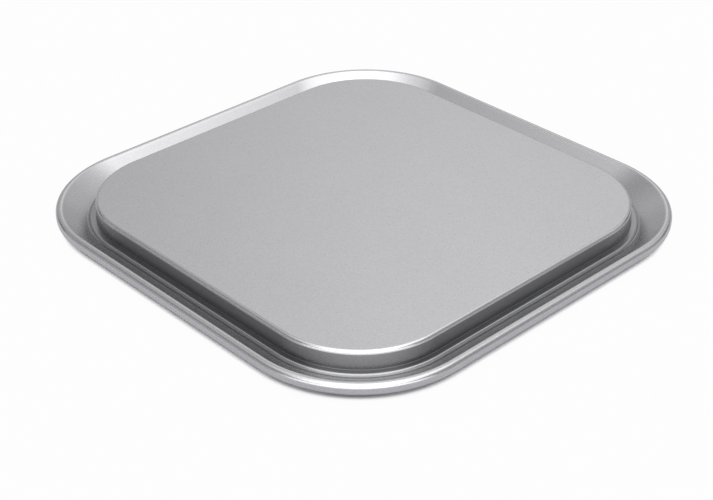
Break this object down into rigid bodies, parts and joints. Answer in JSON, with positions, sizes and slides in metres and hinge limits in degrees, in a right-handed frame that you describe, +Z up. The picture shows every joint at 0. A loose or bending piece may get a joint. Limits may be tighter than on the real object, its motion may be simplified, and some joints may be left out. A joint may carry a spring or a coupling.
{
  "type": "springform pan base",
  "caption": "Base plate of a square springform cake pan: a raised baking platform with round corners, a ledge that the pan's ring stands on, a sloping flange and a wired rolled rim.",
  "frame": {"origin": "centre of the plate, on the surface that it stands on", "axes": "+Z up through the platform, +X and +Y square to the straight sides"},
  "size_m": [0.2686, 0.2686, 0.0124],
  "materials": {
    "satin_silver": "satin silver sheet with a fine even speckle, smooth and slightly brighter where it is bent",
    "wire_steel": "drawn steel wire, dull grey"
  },
  "bodies": {
    "root": {"base_sheet": "satin_silver", "rim_wire": "wire_steel"}
  },
  "joints": []
}
